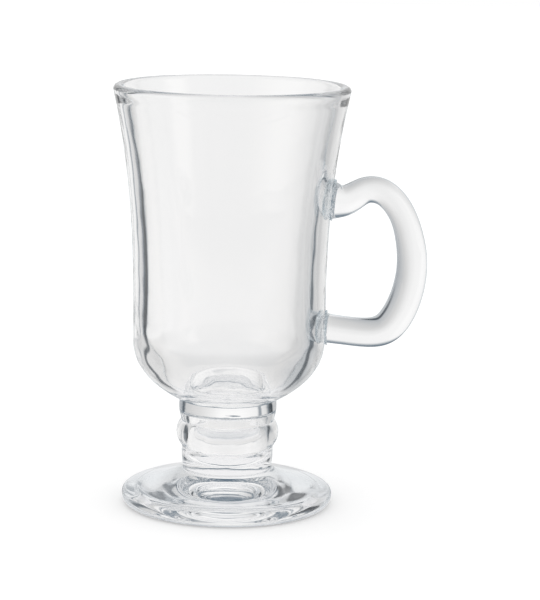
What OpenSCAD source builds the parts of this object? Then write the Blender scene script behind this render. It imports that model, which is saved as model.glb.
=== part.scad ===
// Footed irish coffee mug of clear pressed glass, with a side handle.
// The mug stands on z = 0 with its axis on Z, and the handle points along +X.
// Every piece is fused to the next one, flat face to flat face up the stem,
// and through two oval weld pads between the bowl and the handle.

/* [Foot] */
// Radius of the foot at its widest
foot_r = 36.7; // [32:0.1:44]
// Height of the foot, from the resting ring to the waist of the stem
foot_h = 13; // [11:0.5:18]
// Radius of the waist, where the foot turns into the stem
waist_r = 15.4; // [12:0.1:20]
// Height of the foot's widest point
foot_belly_h = 3.4; // [2.5:0.1:4.5]
// Height at which the rounded edge meets the sloping top
foot_edge_h = 6.6; // [5.5:0.1:7.5]
// Width of the rounded edge, seen from above
foot_edge_w = 4.1; // [3:0.1:6]
// Radial size of the rounding under the edge
foot_under_w = 3.1; // [2:0.1:4]
// Slope of the foot's top beside the edge, in degrees
foot_slope = 14; // [8:1:20]
// Height of the fillet between the foot's top and the waist
foot_fillet_h = 1.8; // [1:0.1:3]
// Width of the flat ring that the mug rests on
ring_w = 2.6; // [1.5:0.1:5]
// Height of the small step inside the resting ring
ring_step_h = 0.9; // [0.5:0.1:1.5]
// Height of the hollow under the foot, at its centre
hollow_h = 3.4; // [2:0.1:6]

/* [Stem] */
// Height of the lower stem
lower_stem_h = 7.6; // [5:0.1:12]
// How far the lower stem swells
lower_stem_belly = 0.2; // [0:0.05:1]
// Radius of the groove under the knop
lower_neck_r = 15.8; // [12:0.1:20]
// Height of the knop
knop_h = 9; // [6:0.1:12]
// How far the knop stands out from the grooves
knop_belly = 1.8; // [1:0.1:4]
// Radius of the groove over the knop
upper_neck_r = 16.1; // [12:0.1:20]
// Height of the upper stem
upper_stem_h = 7.4; // [5:0.1:12]
// How far the upper stem swells
upper_stem_belly = 0.45; // [0:0.05:1]

/* [Air pocket in the stem] */
// Glass left under the pocket, down to the foot
pocket_floor_t = 1.5; // [1:0.1:3]
// Glass left over the pocket, up to the bowl
pocket_ceiling_t = 4; // [2:0.1:4]
// Glass round the pocket in the upper stem
pocket_wall_t = 2.7; // [2:0.1:5]
// Glass round the pocket in the groove under the knop
pocket_low_wall_t = 1.9; // [1.5:0.1:5]
// Glass round the pocket at its floor
pocket_floor_wall_t = 4.2; // [3:0.1:7]
// How far the pocket swells inside the knop
pocket_belly = 1; // [0:0.1:1.5]
// Radius of the rounded corners at the pocket's two ends
pocket_round = 0.9; // [0.5:0.1:1.5]

/* [Bowl] */
// Height of the bowl, from the top of the stem to the crest of the lip
bowl_h = 109; // [95:1:125]
// Radius of the disc where the bowl stands on the stem
bowl_seat_r = 16.8; // [13:0.1:20]
// Outer radius of the bowl's straight part
bowl_r = 33.3; // [30:0.1:37]
// Outer radius of the bowl at the lip
rim_r = 40.5; // [37.5:0.1:46]
// Height of the rounded shoulder at the bottom of the bowl
shoulder_h = 22; // [18:0.5:26]
// Height of the straight wall between the shoulder and the flare
straight_h = 11.5; // [5:0.5:20]
// Wall thickness of the bowl at the top of the shoulder
wall_t = 5.3; // [4:0.1:6]
// Wall thickness of the bowl below the lip
neck_wall_t = 3.85; // [3.6:0.05:4.5]
// Thickness of the rounded lip
lip_t = 3.64; // [3:0.02:3.8]
// Height of the part of the wall that thins towards the lip
lip_taper_h = 4; // [3:0.5:10]
// Thickness of the glass under the floor of the bowl
floor_t = 5; // [3.5:0.1:6]
// Radius of the floor inside the bowl
floor_r = 13.4; // [10:0.1:15]
// Depth of the shallow well in the floor
well_d = 1.7; // [0.5:0.1:2.5]

/* [Handle] */
// Height of the handle's lower end above the top of the shoulder
low_root_h = 3.5; // [2.5:0.1:6]
// Distance between the two ends of the handle
root_span = 44.5; // [38:0.5:48]
// Distance from the bowl's straight wall to the middle of the grip
grip_reach = 29.4; // [25:0.1:36]
// Thickness of the grip, seen from the side
grip_t = 9.7; // [8:0.1:12]
// Width of the grip, across the handle
grip_w = 11.6; // [9:0.1:14]

/* [Weld pads] */
// Thickness of the glass of each weld pad
pad_t = 0.8; // [0.5:0.1:1.2]
// Height of the upper weld pad
upper_pad_h = 14.2; // [12:0.1:16]
// Width of the upper weld pad
upper_pad_w = 15; // [13:0.1:17]
// Height of the lower weld pad
lower_pad_h = 12; // [10:0.1:13]
// Width of the lower weld pad
lower_pad_w = 11.8; // [10:0.1:13]

/* [Hidden] */

glass_colour = [0.86, 0.92, 0.94, 0.6];
pad_colour = [0.55, 0.72, 0.8, 0.8];

// Levels of the faces where the pieces meet
lower_stem_z = foot_h;
knop_z = lower_stem_z + lower_stem_h;
upper_stem_z = knop_z + knop_h;
bowl_z = upper_stem_z + upper_stem_h;
shoulder_z = bowl_z + shoulder_h;
lip_round = lip_t / 2;
lip_z = bowl_z + bowl_h - lip_round;
flare_z = shoulder_z + straight_h;
flare_h = lip_z - flare_z;
floor_z = bowl_z + floor_t;
pocket_floor_z = lower_stem_z + pocket_floor_t;
pocket_top_z = bowl_z - pocket_ceiling_t;
pocket_r = upper_neck_r - pocket_wall_t;
pocket_low_r = lower_neck_r - pocket_low_wall_t;
pocket_floor_r = waist_r - pocket_floor_wall_t;

// The flare follows a power of the height, as a share of its own height
flare_power = 2.3;

// Control points of the outer shoulder, as shares of its height and width
shoulder_drop_share = 0.42;
shoulder_rise_share = 0.29;
shoulder_run_share = 0.72;

// Control points of the inner shoulder, as shares of its height and width
inner_drop_share = 0.44;
inner_run_share = 0.5;

// Control points of the foot's edge and top, as shares of their sizes
edge_rise_share = 0.56;
edge_run_share = 0.6;
top_run_share = 0.35;
hollow_flat_share = 0.66;
hollow_slope_share = 0.8;

// Control points of the pocket's side in the lower stem, as shares of its height and width
pocket_drop_share = 0.4;
pocket_turn_share = 0.25;

// Middle line and section of the handle, from the upper end to the lower one:
// reach, height between the ends, thickness and width
handle_shares = [
    [-0.060,  1.004, 1.40, 1.24],
    [ 0.065,  0.998, 1.37, 1.24],
    [ 0.190,  0.990, 1.07, 1.07],
    [ 0.300,  1.032, 1.00, 0.98],
    [ 0.410,  1.080, 0.92, 0.95],
    [ 0.520,  1.092, 0.94, 0.95],
    [ 0.655,  1.070, 0.93, 0.96],
    [ 0.780,  0.996, 0.95, 0.97],
    [ 0.880,  0.890, 0.95, 0.98],
    [ 0.942,  0.775, 0.99, 1.00],
    [ 0.985,  0.645, 1.05, 1.00],
    [ 1.005,  0.510, 1.09, 1.00],
    [ 0.985,  0.370, 1.11, 1.00],
    [ 0.925,  0.217, 1.14, 1.00],
    [ 0.827,  0.080, 1.16, 1.00],
    [ 0.690, -0.021, 1.11, 1.00],
    [ 0.480, -0.038, 1.02, 0.98],
    [ 0.250, -0.023, 1.00, 0.96],
    [ 0.080, -0.008, 1.02, 0.95],
    [-0.020,  0.000, 1.07, 0.95],
    [-0.120,  0.000, 1.07, 0.95]
];
steps_per_station = 4;
section_sides = 28;
section_power = 2.3;
pad_sides = 48;

// Steps along one curve of an outline
curve_steps = 14;
flare_steps = 22;
bulge_steps = 12;
round_steps = 5;

// Levels of the two ends of the handle
low_root_z = shoulder_z + low_root_h;
high_root_z = low_root_z + root_span;

// Point of a cubic curve through p0 and p3, drawn towards p1 and p2
function cubic(p0, p1, p2, p3, t) =
    pow(1 - t, 3) * p0 + 3 * pow(1 - t, 2) * t * p1
    + 3 * (1 - t) * t * t * p2 + pow(t, 3) * p3;

// Points of that curve, without its first one
function curve(p0, p1, p2, p3) =
    [for (i = [1 : curve_steps]) cubic(p0, p1, p2, p3, i / curve_steps)];

function mix(a, b, share) = a + (b - a) * share;

// Side of a ring of the stem, from the bottom radius to the top one
function bulge(z, h, bottom_r, top_r, belly) = [
    for (i = [0 : bulge_steps])
        let (share = i / bulge_steps)
        [mix(bottom_r, top_r, share) + belly * sin(180 * share), z + h * share]
];

// Rounded end of the pocket, from its side to the axis; up is 1 at the top and -1 at the floor
function pocket_end(r, z, up) = concat(
    [for (i = [1 : round_steps])
        let (angle = 90 * i / round_steps)
        [r - pocket_round * (1 - cos(angle)), z - up * pocket_round * (1 - sin(angle))]],
    [[0, z]]
);

// Inside of the lower stem, from its upper face down to the pocket's floor
function lower_recess_points() =
    let (
        side_h = knop_z - pocket_floor_z - pocket_round,
        turn_r = mix(pocket_floor_r, pocket_low_r, pocket_turn_share)
    )
    concat(
        [[pocket_low_r, knop_z]],
        curve(
            [pocket_low_r, knop_z],
            [pocket_low_r, knop_z - side_h * pocket_drop_share],
            [turn_r, knop_z - side_h * pocket_drop_share],
            [pocket_floor_r, pocket_floor_z + pocket_round]
        ),
        pocket_end(pocket_floor_r, pocket_floor_z, -1)
    );

// Inside of the upper stem, from its lower face up to the pocket's ceiling
function upper_recess_points() = concat(
    [[pocket_r, upper_stem_z], [pocket_r, pocket_top_z - pocket_round]],
    pocket_end(pocket_r, pocket_top_z, 1)
);

// Outer radius of the bowl above its shoulder
function bowl_r_at(z) =
    bowl_r + (rim_r - bowl_r) * pow(max(z - flare_z, 0) / flare_h, flare_power);

// Wall thickness of the bowl above its shoulder
function wall_at(z) = mix(wall_t, neck_wall_t, (z - shoulder_z) / (lip_z - shoulder_z));

// Outside of the bowl, from its seat on the stem up to the lip
function shoulder_points() =
    let (
        top = [bowl_r, shoulder_z],
        seat = [bowl_seat_r, bowl_z],
        run = (bowl_r - bowl_seat_r) * shoulder_run_share,
        up = [bowl_r, shoulder_z - shoulder_h * shoulder_drop_share],
        out = [bowl_seat_r + run, bowl_z + shoulder_h * shoulder_rise_share]
    )
    concat([seat], curve(seat, out, up, top));

function flare_points() = [
    for (i = [0 : flare_steps])
        let (z = mix(flare_z, lip_z, i / flare_steps))
        [bowl_r_at(z), z]
];

function outside_points() = concat(shoulder_points(), flare_points());

// Crest of the lip, from the outside to the inside
function lip_points() = [
    for (i = [1 : curve_steps])
        let (angle = 180 * i / curve_steps)
        [rim_r - lip_round + lip_round * cos(angle), lip_z + lip_round * sin(angle)]
];

// Inside of the bowl, from under the lip down to the floor
function inside_wall_points() = [
    for (i = [0 : flare_steps])
        let (z = mix(lip_z - lip_taper_h, shoulder_z, i / flare_steps))
        [bowl_r_at(z) - wall_at(z), z]
];

function inside_floor_points() =
    let (
        top = [bowl_r - wall_t, shoulder_z],
        edge = [floor_r, floor_z],
        down = [bowl_r - wall_t, mix(shoulder_z, floor_z, inner_drop_share)],
        along = [mix(floor_r, bowl_r - wall_t, inner_run_share), floor_z]
    )
    concat(
        curve(top, down, along, edge),
        [[floor_r - well_d, floor_z - well_d], [0, floor_z - well_d]]
    );

// Outline of the foot, from the centre of the hollow round to the waist
function foot_points() =
    let (
        ring_out_r = foot_r - foot_under_w,
        ring_in_r = ring_out_r - ring_w,
        edge = [foot_r, foot_belly_h],
        top = [foot_r - foot_edge_w, foot_edge_h],
        slope = [cos(foot_slope), -sin(foot_slope)],
        waist = [waist_r, foot_h],
        top_run = top[0] - waist_r
    )
    concat(
        [[0, hollow_h]],
        curve(
            [0, hollow_h],
            [ring_in_r * hollow_flat_share, hollow_h],
            [ring_in_r * hollow_slope_share, ring_step_h],
            [ring_in_r - ring_step_h, ring_step_h]
        ),
        [[ring_in_r, 0]],
        [for (i = [0 : curve_steps])
            let (angle = 90 * i / curve_steps)
            [ring_out_r + foot_under_w * sin(angle), foot_belly_h * (1 - cos(angle))]],
        curve(
            edge,
            [foot_r, mix(foot_belly_h, foot_edge_h, edge_rise_share)],
            top + slope * foot_edge_w * edge_run_share,
            top
        ),
        curve(top, top - slope * top_run * top_run_share, waist - [0, foot_fillet_h], waist)
    );

// Solid of revolution under an outline, closed down the axis
module turned(points) {
    bottom = points[0];
    top = points[len(points) - 1];
    rotate_extrude($fn = 96) polygon(concat([[0, bottom[1]]], points, [[0, top[1]]]));
}

// The outside of the bowl as a solid, grown sideways by a thickness
module bowl_blank(grow = 0) {
    turned([for (p = outside_points()) p + [grow, 0]]);
}

// Rounded oval of the handle's section and of the weld pads
function oval(half_a, half_b, sides) = [
    for (i = [0 : sides - 1])
        let (
            angle = 360 * i / sides,
            c = cos(angle),
            s = sin(angle),
            power = 2 / section_power
        )
        [half_a * sign(c) * pow(abs(c), power), half_b * sign(s) * pow(abs(s), power)]
];

// Smooth curve drawn by four stations, running beside the second and the third
function smooth(a, b, c, d, t) =
    (
        pow(1 - t, 3) * a + (3 * t * t * t - 6 * t * t + 4) * b
        + (3 * t + 3 * t * t - 3 * t * t * t + 1) * c + t * t * t * d
    ) / 6;

function handle_station(i) =
    let (
        last = len(handle_shares) - 1,
        s = handle_shares[min(max(i, 0), last)]
    )
    [
        bowl_r + s[0] * grip_reach,
        mix(low_root_z, high_root_z, s[1]),
        s[2] * grip_t / 2,
        s[3] * grip_w / 2
    ];

handle_path = [
    for (i = [0 : len(handle_shares) - 2])
        for (j = [0 : steps_per_station - 1])
            smooth(
                handle_station(i - 1), handle_station(i),
                handle_station(i + 1), handle_station(i + 2),
                j / steps_per_station
            ),
    handle_station(len(handle_shares) - 1)
];

// One ring of the handle, square to its middle line
function handle_ring(i) =
    let (
        last = len(handle_path) - 1,
        here = handle_path[i],
        before = handle_path[max(i - 1, 0)],
        after = handle_path[min(i + 1, last)],
        along = [after[0] - before[0], after[1] - before[1]],
        unit = along / norm(along)
    )
    [
        for (p = oval(here[2], here[3], section_sides))
            [here[0] - unit[1] * p[0], p[1], here[1] + unit[0] * p[0]]
    ];

// The handle before its ends are cut to the bowl
module handle_blank() {
    rings = len(handle_path);
    points = [for (i = [0 : rings - 1]) each handle_ring(i)];
    sides = [
        for (i = [0 : rings - 2])
            for (j = [0 : section_sides - 1])
                let (
                    a = i * section_sides + j,
                    b = i * section_sides + (j + 1) % section_sides
                )
                each [
                    [a, b, b + section_sides],
                    [a, b + section_sides, a + section_sides]
                ]
    ];
    first_cap = [for (j = [section_sides - 1 : -1 : 0]) j];
    last_cap = [for (j = [0 : section_sides - 1]) (rings - 1) * section_sides + j];
    polyhedron(points = points, faces = concat([first_cap], sides, [last_cap]));
}

// Oval pad between the bowl's outside and the end of the handle
module weld_pad(z, h, w) {
    difference() {
        intersection() {
            bowl_blank(pad_t);
            translate([0, 0, z])
                rotate([90, 0, 90])
                    linear_extrude(height = rim_r + pad_t)
                        polygon(oval(w / 2, h / 2, pad_sides));
        }
        bowl_blank();
    }
}

module foot() {
    color(glass_colour)
        rotate_extrude($fn = 96)
            polygon(concat(foot_points(), [[0, foot_h]]));
}

module lower_stem() {
    outside = bulge(lower_stem_z, lower_stem_h, waist_r, lower_neck_r, lower_stem_belly);
    color(glass_colour)
        rotate_extrude($fn = 96)
            polygon(concat([[0, lower_stem_z]], outside, lower_recess_points()));
}

// The knop is a ring: the pocket goes right through it
module knop() {
    outside = bulge(knop_z, knop_h, lower_neck_r, upper_neck_r, knop_belly);
    inside = bulge(knop_z, knop_h, pocket_low_r, pocket_r, pocket_belly);
    reversed = [for (i = [bulge_steps : -1 : 0]) inside[i]];
    color(glass_colour)
        rotate_extrude($fn = 96)
            polygon(concat(outside, reversed));
}

module upper_stem() {
    outside = bulge(upper_stem_z, upper_stem_h, upper_neck_r, bowl_seat_r, upper_stem_belly);
    recess = upper_recess_points();
    reversed = [for (i = [len(recess) - 1 : -1 : 0]) recess[i]];
    color(glass_colour)
        rotate_extrude($fn = 96)
            polygon(concat(reversed, outside, [[0, bowl_z]]));
}

module bowl() {
    color(glass_colour)
        rotate_extrude($fn = 96)
            polygon(concat(
                [[0, bowl_z]], outside_points(), lip_points(),
                inside_wall_points(), inside_floor_points()
            ));
}

module lower_weld_pad() {
    color(pad_colour) weld_pad(low_root_z, lower_pad_h, lower_pad_w);
}

module upper_weld_pad() {
    color(pad_colour) weld_pad(high_root_z, upper_pad_h, upper_pad_w);
}

module handle() {
    color(glass_colour)
        difference() {
            handle_blank();
            bowl_blank(pad_t);
        }
}

foot();
lower_stem();
knop();
upper_stem();
bowl();
lower_weld_pad();
upper_weld_pad();
handle();
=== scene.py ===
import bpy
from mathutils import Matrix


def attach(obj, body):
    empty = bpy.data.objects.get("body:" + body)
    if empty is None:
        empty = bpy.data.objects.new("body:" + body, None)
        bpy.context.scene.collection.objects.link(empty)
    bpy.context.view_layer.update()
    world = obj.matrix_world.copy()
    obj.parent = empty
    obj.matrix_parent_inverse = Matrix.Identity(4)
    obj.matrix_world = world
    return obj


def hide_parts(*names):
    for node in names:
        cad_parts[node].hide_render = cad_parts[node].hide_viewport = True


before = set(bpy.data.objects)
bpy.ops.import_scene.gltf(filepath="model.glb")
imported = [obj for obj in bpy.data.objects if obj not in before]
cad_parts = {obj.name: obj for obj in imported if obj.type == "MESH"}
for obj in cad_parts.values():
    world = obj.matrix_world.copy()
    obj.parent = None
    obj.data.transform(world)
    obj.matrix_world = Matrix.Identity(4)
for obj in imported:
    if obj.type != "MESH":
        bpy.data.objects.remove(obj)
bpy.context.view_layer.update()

import math

import bpy
from mathutils import Matrix, Vector, noise

MM = 0.001

# The bowl is one thick gather of clear glass, pressed in a mould and fire-polished
# at the lip. Its wall thins upwards, and its floor is fused to the stem below it.
# The plunger left the inside of the wall a little uneven.
MUG_H = 146 * MM
BOWL_SEAT_Z = 37 * MM
BOWL_SEAT_R = 16.8 * MM
SHOULDER_H = 22 * MM
SHOULDER_Z = BOWL_SEAT_Z + SHOULDER_H
WALL_R = 33.3 * MM
STRAIGHT_H = 11.5 * MM
RIM_R = 40.5 * MM
LIP_ROUND = 1.82 * MM
LIP_Z = MUG_H - LIP_ROUND
FLARE_Z = SHOULDER_Z + STRAIGHT_H
FLARE_POWER = 2.3
LIP_TAPER_H = 4 * MM
TAPER_Z = LIP_Z - LIP_TAPER_H
WALL_T = 5.3 * MM
NECK_WALL_T = 3.85 * MM
FLOOR_T = 5 * MM
FLOOR_Z = BOWL_SEAT_Z + FLOOR_T
FLOOR_R = 13.4 * MM
WELL_D = 1.7 * MM

# A fine bead of glass on the floor's edge, as high as its radius times the flattening
BEAD_R = 0.45 * MM
BEAD_FLATTENING = 0.8

# How far and how steeply the inside leaves the lip and meets the wall
LIP_LEAD = 1.4 * MM
LIP_SLOPE = 0.225
LIP_TUCK = 0.1

# Rows of points on each stretch of the outline
SHOULDER_ROWS = 44
WALL_ROWS = 130
LIP_ROWS = 26
INNER_LIP_ROWS = 8
INNER_WALL_ROWS = 62
INNER_SHOULDER_ROWS = 42
FLOOR_ROWS = 14
BEAD_ROWS = 8
STEP_ROWS = 4

# Pull of the curves' inner points, as shares of the shoulder's run and height
SHOULDER_OUT = (0.72, 0.29)
SHOULDER_UP = 0.42
INNER_DOWN = 0.44
INNER_ACROSS = 0.5

# Columns round the axis, how far they crowd to the two sides of the view, and
# the edge angle above which an edge stays sharp
STATIONS = 232
CROWDING = 0.75
SHARP_ANGLE = math.radians(32)
SAME_POINT = 1e-6

# Detail of the waves that the press left
PRESS_DETAIL = 1.5

# A face counts as fused through where its mark is above this
FUSED_FROM = 0.99


def mix(a, b, share):
    """The value a share of the way from a to b."""
    return a + (b - a) * share


def cubic(p0, p1, p2, p3, steps):
    """Points of a cubic curve, without its first one."""
    made = []
    for i in range(1, steps + 1):
        t = i / steps
        s = 1 - t
        made.append(tuple(
            s ** 3 * a + 3 * s * s * t * b + 3 * s * t * t * c + t ** 3 * d
            for a, b, c, d in zip(p0, p1, p2, p3)
        ))
    return made


def flat(a, b, steps):
    """Points from a to b, without the first one."""
    shares = [i / steps for i in range(1, steps + 1)]
    return [(mix(a[0], b[0], share), mix(a[1], b[1], share)) for share in shares]


def wall_radius(z):
    """Outer radius of the bowl at a height above its shoulder."""
    rise = max(z - FLARE_Z, 0) / (LIP_Z - FLARE_Z)
    return WALL_R + (RIM_R - WALL_R) * rise ** FLARE_POWER


def wall_thickness(z):
    """The wall thins evenly from the shoulder to the lip."""
    return mix(WALL_T, NECK_WALL_T, (z - SHOULDER_Z) / (LIP_Z - SHOULDER_Z))


def add_input(tree, name, kind, value=None):
    """Gives a node group a named input."""
    socket = tree.interface.new_socket(name, in_out="INPUT", socket_type=kind)
    if value is not None:
        socket.default_value = value
    return socket


def node(tree, kind, **settings):
    """A new node of a tree, with its settings."""
    made = tree.nodes.new(kind)
    for name, value in settings.items():
        setattr(made, name, value)
    return made


def math_node(tree, operation, a, b=None):
    """Output of a sum on numbers or sockets."""
    made = node(tree, "ShaderNodeMath", operation=operation)
    for socket, value in zip(made.inputs, (a, b)):
        if value is None:
            continue
        if isinstance(value, (int, float)):
            socket.default_value = value
        else:
            tree.links.new(value, socket)
    return made.outputs[0]


def named_value(tree, kind, name):
    """A value that a mesh carries under a name."""
    made = node(tree, "GeometryNodeInputNamedAttribute", data_type=kind)
    made.inputs["Name"].default_value = name
    return made.outputs["Attribute"]


def marked(tree, mesh, kind, name, value):
    """The mesh with a value kept on its points under a name."""
    made = node(tree, "GeometryNodeStoreNamedAttribute", data_type=kind, domain="POINT")
    made.inputs["Name"].default_value = name
    tree.links.new(mesh, made.inputs["Geometry"])
    tree.links.new(value, made.inputs["Value"])
    return made.outputs[0]


def scaled(tree, vector, by):
    """A vector times a number."""
    made = node(tree, "ShaderNodeVectorMath", operation="SCALE")
    tree.links.new(vector, made.inputs[0])
    tree.links.new(by, made.inputs["Scale"])
    return made.outputs[0]


def added(tree, a, b):
    """The sum of two vectors."""
    made = node(tree, "ShaderNodeVectorMath", operation="ADD")
    tree.links.new(a, made.inputs[0])
    tree.links.new(b, made.inputs[1])
    return made.outputs[0]


def rows_along(tree, points, columns):
    """A grid with a row for each point of a line: its mesh, its X and the row's number."""
    grid = node(tree, "GeometryNodeMeshGrid")
    grid.inputs["Size X"].default_value = 1
    grid.inputs["Size Y"].default_value = 1
    tree.links.new(math_node(tree, "ADD", columns, 1), grid.inputs["Vertices X"])
    tree.links.new(points, grid.inputs["Vertices Y"])
    place = node(tree, "ShaderNodeSeparateXYZ")
    tree.links.new(node(tree, "GeometryNodeInputPosition").outputs[0], place.inputs[0])
    along = math_node(tree, "ADD", place.outputs["Y"], 0.5)
    last = math_node(tree, "SUBTRACT", points, 1)
    row = math_node(tree, "ROUND", math_node(tree, "MULTIPLY", along, last))
    return grid.outputs["Mesh"], place.outputs["X"], row


def at_row(tree, line, row, kind, name=None):
    """What a line has under a name at the point of a row, or where that point is."""
    if name:
        value = named_value(tree, kind, name)
    else:
        value = node(tree, "GeometryNodeInputPosition").outputs[0]
    made = node(tree, "GeometryNodeSampleIndex", data_type=kind, domain="POINT")
    tree.links.new(line, made.inputs["Geometry"])
    tree.links.new(value, made.inputs["Value"])
    tree.links.new(row, made.inputs["Index"])
    return made.outputs["Value"]


def glass_skin(tree, given, mesh, places, fused):
    """Moves the mesh's points to their places, closes it and gives it its two materials."""
    placed = node(tree, "GeometryNodeSetPosition")
    tree.links.new(places, placed.inputs["Position"])
    closed = node(tree, "GeometryNodeMergeByDistance")
    closed.inputs["Distance"].default_value = SAME_POINT
    smooth = node(tree, "GeometryNodeSetShadeSmooth")
    real = node(tree, "GeometryNodeRealizeInstances")
    glass = node(tree, "GeometryNodeSetMaterial")
    tree.links.new(given["Glass"], glass.inputs["Material"])
    seam = node(tree, "GeometryNodeSetMaterial")
    tree.links.new(given["Fused Face"], seam.inputs["Material"])
    tree.links.new(math_node(tree, "GREATER_THAN", fused, FUSED_FROM), seam.inputs["Selection"])
    for step in (placed, closed, smooth, real, glass, seam):
        tree.links.new(mesh, step.inputs[0])
        mesh = step.outputs[0]
    tree.links.new(mesh, node(tree, "NodeGroupOutput").inputs[0])


def turned_tree():
    """Turns an outline round the Z axis: rows along the outline, stations round the axis."""
    tree = bpy.data.node_groups.new("turned glass", "GeometryNodeTree")
    add_input(tree, "Outline", "NodeSocketGeometry")
    add_input(tree, "Points", "NodeSocketInt")
    add_input(tree, "Stations", "NodeSocketInt")
    add_input(tree, "Crowding", "NodeSocketFloat")
    add_input(tree, "Wave Size", "NodeSocketFloat")
    add_input(tree, "Seed", "NodeSocketFloat")
    add_input(tree, "Glass", "NodeSocketMaterial")
    add_input(tree, "Fused Face", "NodeSocketMaterial")
    tree.interface.new_socket("Mesh", in_out="OUTPUT", socket_type="NodeSocketGeometry")
    link = tree.links.new
    given = node(tree, "NodeGroupInput").outputs
    outline = given["Outline"]
    grid, across, row = rows_along(tree, given["Points"], given["Stations"])
    turn = math_node(tree, "MULTIPLY", math_node(tree, "ADD", across, 0.5), math.tau)
    crowd = math_node(tree, "MULTIPLY", given["Crowding"], math_node(tree, "SINE", turn))
    angle = math_node(tree, "SUBTRACT", turn, crowd)
    cosine, sine = math_node(tree, "COSINE", angle), math_node(tree, "SINE", angle)

    def turned(vector):
        apart, joined = node(tree, "ShaderNodeSeparateXYZ"), node(tree, "ShaderNodeCombineXYZ")
        link(vector, apart.inputs[0])
        link(math_node(tree, "MULTIPLY", apart.outputs["X"], cosine), joined.inputs["X"])
        link(math_node(tree, "MULTIPLY", apart.outputs["X"], sine), joined.inputs["Y"])
        link(apart.outputs["Z"], joined.inputs["Z"])
        return joined.outputs[0]

    spot = turned(at_row(tree, outline, row, "FLOAT_VECTOR"))
    push = turned(at_row(tree, outline, row, "FLOAT_VECTOR", "push"))
    wave = node(tree, "ShaderNodeTexNoise", noise_dimensions="4D")
    link(spot, wave.inputs["Vector"])
    link(given["Seed"], wave.inputs["W"])
    link(math_node(tree, "DIVIDE", 1, given["Wave Size"]), wave.inputs["Scale"])
    wave.inputs["Detail"].default_value = PRESS_DETAIL
    swing = math_node(tree, "MULTIPLY", math_node(tree, "SUBTRACT", wave.outputs["Fac"], 0.5), 2)
    grid = marked(tree, grid, "FLOAT", "fused", at_row(tree, outline, row, "FLOAT", "fused"))
    places = added(tree, spot, scaled(tree, push, swing))
    glass_skin(tree, given, grid, places, named_value(tree, "FLOAT", "fused"))
    return tree


def set_inputs(modifier, values):
    """Sets a modifier's inputs by their sockets' identifiers."""
    ids = {s.name: s.identifier for s in modifier.node_group.interface.items_tree
           if s.item_type == "SOCKET" and s.in_out == "INPUT"}
    for name, value in values.items():
        modifier[ids[name]] = value


def made_plain(obj):
    """Turns what the object's modifiers make into its own plain mesh."""
    graph = bpy.context.evaluated_depsgraph_get()
    mesh = bpy.data.meshes.new_from_object(obj.evaluated_get(graph), depsgraph=graph)
    obj.modifiers.clear()
    obj.data = mesh
    mesh.name = obj.name
    mesh.set_sharp_from_angle(angle=SHARP_ANGLE)


TURNED = turned_tree()


def turned_piece(name, outline, glass, wave_size, seed, crowding=0.0):
    """A turned piece. An outline point is its radius, height, wave depth and 1 on a fused face."""
    points = [(r, 0, z) for r, z, depth, fused in outline]
    mesh = bpy.data.meshes.new(name)
    mesh.from_pydata(points, [(i, i + 1) for i in range(len(points) - 1)], [])
    pushes, marks = [], []
    for i, (r, z, depth, fused) in enumerate(outline):
        before, after = outline[max(i - 1, 0)], outline[min(i + 1, len(outline) - 1)]
        way = Vector((after[1] - before[1], before[0] - after[0]))
        way = way.normalized() if way.length else Vector((0, 0))
        pushes += [way[0] * depth, 0, way[1] * depth]
        marks.append(fused)
    mesh.attributes.new("push", "FLOAT_VECTOR", "POINT").data.foreach_set("vector", pushes)
    mesh.attributes.new("fused", "FLOAT", "POINT").data.foreach_set("value", marks)
    obj = bpy.data.objects.new(name, mesh)
    bpy.context.scene.collection.objects.link(obj)
    modifier = obj.modifiers.new("turned", "NODES")
    modifier.node_group = TURNED
    set_inputs(modifier, {
        "Points": len(points), "Stations": STATIONS, "Crowding": crowding,
        "Wave Size": wave_size, "Seed": seed, "Glass": glass, "Fused Face": FUSED,
    })
    made_plain(obj)
    return obj


# Detail of the two noises, and the wave values between which the polish changes
WAVE_DETAIL = 2
GRAIN_DETAIL = 3
CALMEST = 0.3
BUSIEST = 0.7


def detail_group():
    """Faint waves and a faint change of polish, as on pressed and fire-polished glass."""
    group = bpy.data.node_groups.new("polished glass", "ShaderNodeTree")
    add_input(group, "Wave Scale", "NodeSocketFloat", 60.0)
    add_input(group, "Grain Scale", "NodeSocketFloat", 900.0)
    add_input(group, "Grain Share", "NodeSocketFloat", 0.05)
    add_input(group, "Smoothest", "NodeSocketFloat", 0.0)
    add_input(group, "Roughest", "NodeSocketFloat", 0.02)
    group.interface.new_socket("Roughness", in_out="OUTPUT", socket_type="NodeSocketFloat")
    group.interface.new_socket("Height", in_out="OUTPUT", socket_type="NodeSocketFloat")
    link = group.links.new
    given = node(group, "NodeGroupInput").outputs
    place = node(group, "ShaderNodeTexCoord").outputs["Object"]
    waves = node(group, "ShaderNodeTexNoise")
    waves.inputs["Detail"].default_value = WAVE_DETAIL
    link(place, waves.inputs["Vector"])
    link(given["Wave Scale"], waves.inputs["Scale"])
    grain = node(group, "ShaderNodeTexNoise")
    grain.inputs["Detail"].default_value = GRAIN_DETAIL
    link(place, grain.inputs["Vector"])
    link(given["Grain Scale"], grain.inputs["Scale"])
    polish = node(group, "ShaderNodeMapRange")
    link(waves.outputs["Fac"], polish.inputs["Value"])
    polish.inputs["From Min"].default_value = CALMEST
    polish.inputs["From Max"].default_value = BUSIEST
    link(given["Smoothest"], polish.inputs["To Min"])
    link(given["Roughest"], polish.inputs["To Max"])
    fine = math_node(group, "MULTIPLY", grain.outputs["Fac"], given["Grain Share"])
    out = node(group, "NodeGroupOutput")
    link(polish.outputs["Result"], out.inputs["Roughness"])
    link(math_node(group, "ADD", waves.outputs["Fac"], fine), out.inputs["Height"])
    return group


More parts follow.
